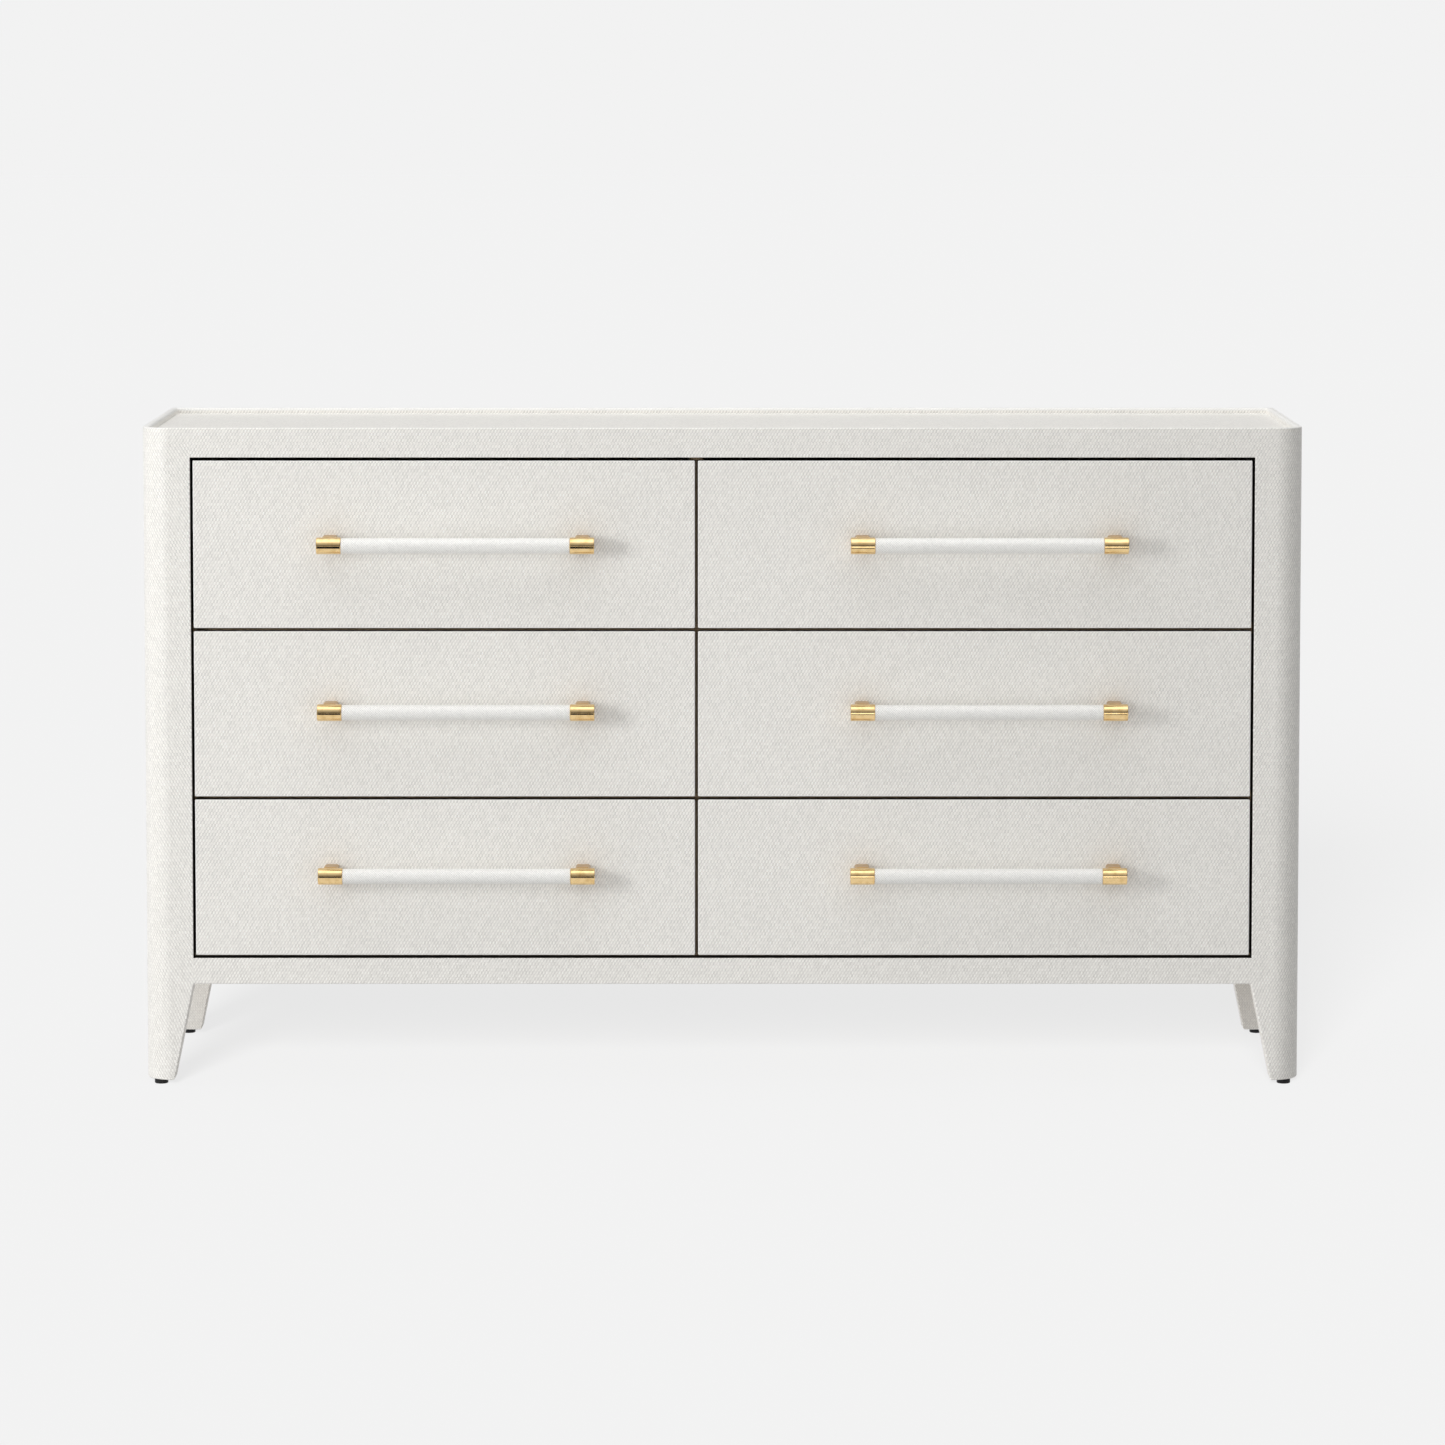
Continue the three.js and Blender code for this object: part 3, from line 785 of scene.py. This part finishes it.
crosswise_wood = lacquered_wood("pale wood, grain across", "X")
lengthwise_wood = lacquered_wood("pale wood, grain front to back", "Y")
all_round = Vector((SHADOW_GAP, 0, SHADOW_GAP))
for drawer in DRAWERS:
    low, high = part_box(drawer + "_front")
    front = board(low + all_round, high - all_round)
    cut = Vector((0, low.y + CLOTH_ROLL, 0))
    everything = list(front.verts) + list(front.edges) + list(front.faces)
    bmesh.ops.bisect_plane(front, geom=everything, plane_co=cut, plane_no=BACK)
    front.normal_update()
    inner_face = max(front.faces, key=lambda face: face.normal.y * face.calc_area())
    bmesh.ops.inset_individual(front, faces=[inner_face], thickness=EDGE_MARGIN, depth=-INNER_STEP)
    # Faces behind the cloth get the near-black painted gap shade, and the eased and rolled edges get
    # the lighter cloth, a painted highlight.
    for face in front.faces:
        if face.calc_center_median().y > cut.y:
            face.material_index = GAP_SHADE
        elif face.normal.y > -0.97:
            face.material_index = ROLLED_HIGHLIGHT_EDGE
    inner_face.material_index = BARE
    lay_flat(front)
    more_coverings = (painted_gap_shade, crosswise_wood, rolled_cloth_highlight)
    finished(drawer + "_front", front, board_cloth, "wrapped_board", *more_coverings)

# ---- Drawer boxes ----
# Boxes of clear-lacquered pale wood, closed at the front by the drawer front, which the sides
# butt against. The back is finger-jointed into the two sides. A thin ply bottom runs a little
# way into the sides, as in a groove.

FINGERS = 9
JOINT_GAP = 0.12 * MM
GROOVE = 4 * MM
SIDE_EASING = 0.6 * MM
THIN_EASING = 0.3 * MM

for drawer in DRAWERS:
    left_low, left_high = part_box(drawer + "_box_left")
    right_low, right_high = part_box(drawer + "_box_right")
    back_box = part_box(drawer + "_box_back")
    back_height = back_box[1].z - back_box[0].z
    joint_heights = [back_box[0].z + back_height * step / FINGERS for step in range(FINGERS + 1)]
    inner_y = back_box[0].y - JOINT_GAP
    for side_name, low, high in (("left", left_low, left_high), ("right", right_low, right_high)):
        outline = [(low.y - FIT_GAP, low.z), (high.y, low.z)]
        for step in range(1, FINGERS, 2):
            lower = joint_heights[step] - JOINT_GAP
            upper = joint_heights[step + 1] + JOINT_GAP
            outline += [(high.y, lower), (inner_y, lower), (inner_y, upper), (high.y, upper)]
        outline += [(high.y, high.z), (low.y - FIT_GAP, high.z)]
        side_board = cut_board(outline, 0, low.x, high.x, SIDE_EASING)
        finished(f"{drawer}_box_{side_name}", side_board, lengthwise_wood, "drawer_wood")
    short_left = left_high.x + JOINT_GAP
    short_right = right_low.x - JOINT_GAP
    rising = []
    falling = []
    for step in range(FINGERS):
        is_finger = step % 2 == 1
        left = left_low.x if is_finger else short_left
        right = right_high.x if is_finger else short_right
        rising += [(right, joint_heights[step]), (right, joint_heights[step + 1])]
        falling += [(left, joint_heights[step]), (left, joint_heights[step + 1])]
    back_outline = rising + falling[::-1]
    back_board = cut_board(back_outline, 1, back_box[0].y, back_box[1].y, THIN_EASING)
    finished(drawer + "_box_back", back_board, crosswise_wood, "drawer_wood")
    floor_low, floor_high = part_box(drawer + "_box_bottom")
    in_groove = Vector((GROOVE, FIT_GAP, 0))
    floor_board = board(floor_low - in_groove, floor_high + in_groove, easing=THIN_EASING)
    finished(drawer + "_box_bottom", floor_board, level_plywood, "drawer_wood")

# ---- Handles ----
# A bar threaded through two turned brass caps, each on a squarish brass post that is screwed
# through the drawer front from inside. The bar between the caps is sleeved in ivory cloth.

CAP_LENGTH = 32 * MM
CAP_CHAMFER = 0.7 * MM
ROD_RADIUS = 7 * MM
POST_WIDTH = 19.5 * MM
POST_HEIGHT = 22.8 * MM
POST_CORNER = 3.5 * MM
POST_CORNER_STEPS = 5
HANDLE_SCREW = 4.5 * MM
SLEEVE_TURN = (0.3 * MM, 0.6 * MM)  # how far along and in the sleeve's ends are eased
BUFFED_ROUGHNESS = 0.07
BRUSHED_ROUGHNESS = 0.32
POST_BRASS_SHADED = 1  # place of the posts' darkened brass among a handle's materials


def turned_brass(name, tint, roughness):
    """Brass with fine lathe rings and a faint cloudy tarnish."""
    material, tree, shader = new_material(name)
    place = add_node(tree, "TexCoord", {}, {})["Object"]
    rings = noise(tree, stretched(tree, place, (9000.0, 60.0, 60.0)), 1.0, 1.0)
    cloud = noise(tree, place, 120.0, 3.0)
    tarnish = (0.66, 0.43, 0.17, 1.0)
    colour = mixed(tree, tint, tarnish, cloud.between(0.45, 0.85))
    normal = bumped(tree, rings, 0.06, 0.05 * MM)
    feed(tree, shader, Base_Color=colour, Roughness=roughness + 0.06 * cloud, Normal=normal)
    shader.inputs["Metallic"].default_value = 1.0
    return material


def rounded_oblong(centre, width, height, radius):
    """The outline of an oblong with rounded corners, anticlockwise."""
    points = []
    for right, up, start in ((1, 1, 0), (-1, 1, 90), (-1, -1, 180), (1, -1, 270)):
        for step in range(POST_CORNER_STEPS + 1):
            angle = math.radians(start + 90 * step / POST_CORNER_STEPS)
            across = right * (width / 2 - radius) + radius * math.cos(angle)
            level = up * (height / 2 - radius) + radius * math.sin(angle)
            points.append((centre[0] + across, centre[1] + level))
    return points


handle_brass = turned_brass("buffed brass", (0.86, 0.63, 0.32, 1.0), BUFFED_ROUGHNESS)
# The posts use the same brass, rougher and in a darker tint: the darker tint is painted shade under the
# caps.
post_brass_shaded = turned_brass("brushed brass, darkened as painted shade", (0.52, 0.35, 0.17, 1.0), BRUSHED_ROUGHNESS)
fine_thread = 0.8 * THREAD
sleeve_tint = (0.97, 0.96, 0.93, 1.0)
sleeve_cloth = woven_cloth("ivory cloth sleeve", fine_thread, fine_thread, sleeve_tint)
for drawer in DRAWERS:
    low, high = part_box(drawer + "_handle_frame")
    wrap_low, wrap_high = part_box(drawer + "_handle_wrap")
    centre_z = (low.z + high.z) / 2
    cap_radius = (high.z - low.z) / 2
    bar_y = low.y + cap_radius
    length = high.x - low.x
    start = Vector((low.x, bar_y, centre_z))
    cap_profile = [(0.0, cap_radius - CAP_CHAMFER), (CAP_CHAMFER, cap_radius)]
    cap_profile += [(CAP_LENGTH - CAP_CHAMFER, cap_radius), (CAP_LENGTH, cap_radius - CAP_CHAMFER)]
    cap_profile += [(CAP_LENGTH, ROD_RADIUS)]
    bar_profile = cap_profile + [(length - along, radius) for along, radius in cap_profile[::-1]]
    brass_parts = [turned(bar_profile, start, RIGHT, 48)]
    inner_face_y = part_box(drawer + "_front")[1].y
    screws = []
    for along in (CAP_LENGTH / 2, length - CAP_LENGTH / 2):
        outline = rounded_oblong((low.x + along, centre_z), POST_WIDTH, POST_HEIGHT, POST_CORNER)
        post = cut_board(outline, 1, bar_y + cap_radius / 2, high.y + FIT_GAP, THIN_EASING)
        for face in post.faces:
            face.material_index = POST_BRASS_SHADED
        brass_parts.append(post)
        screw_place = (low.x + along, inner_face_y - INNER_STEP, centre_z)
        screws.append(screw_head(screw_place, BACK, HANDLE_SCREW))
    finished(drawer + "_handle_frame", joined(brass_parts), handle_brass, "brass", post_brass_shaded)
    loose_piece(drawer + "_handle_screws", joined(screws), zinc, drawer + "_drawer")
    sleeve_radius = (wrap_high.z - wrap_low.z) / 2
    sleeve_length = wrap_high.x - wrap_low.x
    turn_along, turn_in = SLEEVE_TURN
    sleeve_profile = [(-FIT_GAP, ROD_RADIUS), (-FIT_GAP, sleeve_radius - turn_in)]
    sleeve_profile += [(turn_along, sleeve_radius), (sleeve_length - turn_along, sleeve_radius)]
    sleeve_profile += [(sleeve_length + FIT_GAP, sleeve_radius - turn_in)]
    sleeve_profile += [(sleeve_length + FIT_GAP, ROD_RADIUS)]
    sleeve = turned(sleeve_profile, (wrap_low.x, bar_y, centre_z), RIGHT, 40)
    finished(drawer + "_handle_wrap", sleeve, sleeve_cloth, "handle_wrap")

# ---- Studio ----
# A pale floor and backdrop of one even tone. The dresser is lit by a soft light low at the front
# left, a weak one in front, a wide one overhead and a pale sky. A sun lights only the floor, and
# only reflections see the two cards that give the brass its dark and bright bands.

FLOOR_REACH = 60.0
FLOOR_GLOW = 0.776
FLOOR_TONE = 0.03
BACKDROP_RADIUS = 0.98 * FLOOR_REACH
BACKDROP_GLOW = 0.888
DARK_CARD_HEIGHT = 0.002
BRIGHT_CARD_HEIGHT = 3.4
BRIGHT_CARD_GLOW = 1.3
SKY_ABOVE = 1.13
SKY_BELOW = 0.50
SKY_LEFT = 0.30
SKY_RIGHT_LOSS = 0.45  # share of that light which is missing from the right
SUN_STRENGTH = 32.0
SUN_SPREAD = 15  # degrees
SUN_DIRECTION = (0.13, 0.95, -0.30)

bpy.context.scene.view_settings.view_transform = "Standard"


def plain_surface(name, glow, diffuse):
    """A flat studio surface that is partly lit and partly even of itself."""
    material, _, shader = new_material(name)
    shader.inputs["Base Color"].default_value = (diffuse, diffuse, diffuse, 1.0)
    shader.inputs["Roughness"].default_value = 1.0
    shader.inputs["Specular IOR Level"].default_value = 0.0
    shader.inputs["Emission Color"].default_value = (1.0, 1.0, 1.0, 1.0)
    shader.inputs["Emission Strength"].default_value = glow
    return material


def stage_sheet(name, x_range, y_range, height, material):
    """A level oblong sheet of the studio."""
    left, right = x_range
    near, far = y_range
    corners = [(left, near, height), (right, near, height), (right, far, height), (left, far, height)]
    data = bpy.data.meshes.new(name)
    data.from_pydata(corners, [], [range(len(corners))])
    data.materials.append(material)
    sheet = bpy.data.objects.new(name, data)
    bpy.context.scene.collection.objects.link(sheet)
    sheet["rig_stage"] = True
    return sheet


def hide_from(piece, *rays):
    """Keeps a piece of the studio from being seen by some kinds of light ray."""
    for ray in rays:
        setattr(piece, "visible_" + ray, False)


both_ways = (-FLOOR_REACH, FLOOR_REACH)
pale_floor = plain_surface("pale floor", FLOOR_GLOW, FLOOR_TONE)
floor = stage_sheet("floor", both_ways, both_ways, 0, pale_floor)
hide_from(floor, "diffuse", "shadow")

backdrop_mesh = bmesh.new()
bmesh.ops.create_uvsphere(backdrop_mesh, u_segments=32, v_segments=16, radius=BACKDROP_RADIUS)
backdrop_data = bpy.data.meshes.new("backdrop")
backdrop_mesh.to_mesh(backdrop_data)
backdrop_mesh.free()
backdrop_data.materials.append(plain_surface("pale backdrop", BACKDROP_GLOW, 0.0))
backdrop = bpy.data.objects.new("backdrop", backdrop_data)
bpy.context.scene.collection.objects.link(backdrop)
hide_from(backdrop, "diffuse", "glossy", "transmission", "volume_scatter", "shadow")
backdrop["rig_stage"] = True

black = plain_surface("black card", 0.0, 0.0)
white = plain_surface("white card", BRIGHT_CARD_GLOW, 0.0)
dark_card = stage_sheet("dark card", (-9, 9), (-9, -1.3), DARK_CARD_HEIGHT, black)
bright_card = stage_sheet("bright card", (-5, 5), (-2.6, -0.4), BRIGHT_CARD_HEIGHT, white)
for card in (dark_card, bright_card):
    hide_from(card, "camera", "diffuse", "transmission", "volume_scatter", "shadow")

world = bpy.data.worlds.new("studio")
bpy.context.scene.world = world
world.use_nodes = True
sky = world.node_tree
sky_direction = add_node(sky, "TexCoord", {}, {})["Generated"]
toward = add_node(sky, "SeparateXYZ", {}, {"Vector": sky_direction})
from_above = SKY_ABOVE * toward["Z"].between(0, 1)
from_left = SKY_LEFT * (0 - toward["X"]).between(0, 1)
from_below = SKY_BELOW * toward["Z"].between(0.02, -0.02)
right_share = 1 - SKY_RIGHT_LOSS * toward["X"].between(0, 1)
strength = (from_above + from_below) * right_share + from_left
sky.links.new(strength.socket, sky.nodes["Background"].inputs["Strength"])
sky.nodes["Background"].inputs["Color"].default_value = (1.0, 1.0, 1.0, 1.0)

on_object = bpy.data.collections.new("lit by the studio lights")
on_floor = bpy.data.collections.new("lit by the floor light")
on_floor.objects.link(floor)
for piece in bpy.data.objects:
    if piece.type == "MESH" and not piece.get("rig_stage"):
        on_object.objects.link(piece)


def add_light(name, place, target, size, watts):
    """A soft rectangular light that faces a point and lights only the dresser."""
    data = bpy.data.lights.new(name, "AREA")
    data.shape = "RECTANGLE"
    data.size, data.size_y = size
    data.energy = watts
    light = bpy.data.objects.new(name, data)
    light.location = place
    light.rotation_euler = (Vector(target) - Vector(place)).to_track_quat("-Z", "Y").to_euler()
    bpy.context.scene.collection.objects.link(light)
    light.visible_camera = False
    light.light_linking.receiver_collection = on_object


front_place = (0.25, case_front - 1.6, 0.3)
front_target = (0.15, case_front, 0.4)
add_light("key light", (-2.6, -2.6, 1.12), (0, case_front, 0.6), size=(1.0, 1.0), watts=37.6)
add_light("front light", front_place, front_target, size=(0.8, 0.5), watts=2.0)
add_light("top light", (-0.1, -0.4, 3.0), (-0.1, -0.2, 0.8), size=(4.0, 2.5), watts=19.0)

sun_data = bpy.data.lights.new("floor light", "SUN")
sun_data.energy = SUN_STRENGTH
sun_data.angle = math.radians(SUN_SPREAD)
sun = bpy.data.objects.new("floor light", sun_data)
sun.rotation_euler = Vector(SUN_DIRECTION).to_track_quat("-Z", "Y").to_euler()
bpy.context.scene.collection.objects.link(sun)
sun.light_linking.receiver_collection = on_floor

# ---- Camera ----
# A long lens, square to the front, higher than the top and tilted a little down, so that the
# tray just shows.

CAMERA_DISTANCE = 8.0
CAMERA_HEIGHT = 1.363
CAMERA_TILT = 4.931  # degrees, downwards
LENS = 152.44  # millimetres, for a sensor 36 wide
SENSOR_WIDTH = 36.0
VERTICAL_SHIFT = -0.1
FAR_CLIP = 200.0

camera_data = bpy.data.cameras.new("camera")
camera_data.lens = LENS
camera_data.sensor_width = SENSOR_WIDTH
camera_data.shift_y = VERTICAL_SHIFT
camera_data.clip_end = FAR_CLIP
camera = bpy.data.objects.new("camera", camera_data)
camera.location = (0, case_front - CAMERA_DISTANCE, CAMERA_HEIGHT)
camera.rotation_euler = (math.radians(90 - CAMERA_TILT), 0, 0)
bpy.context.scene.collection.objects.link(camera)
bpy.context.scene.camera = camera
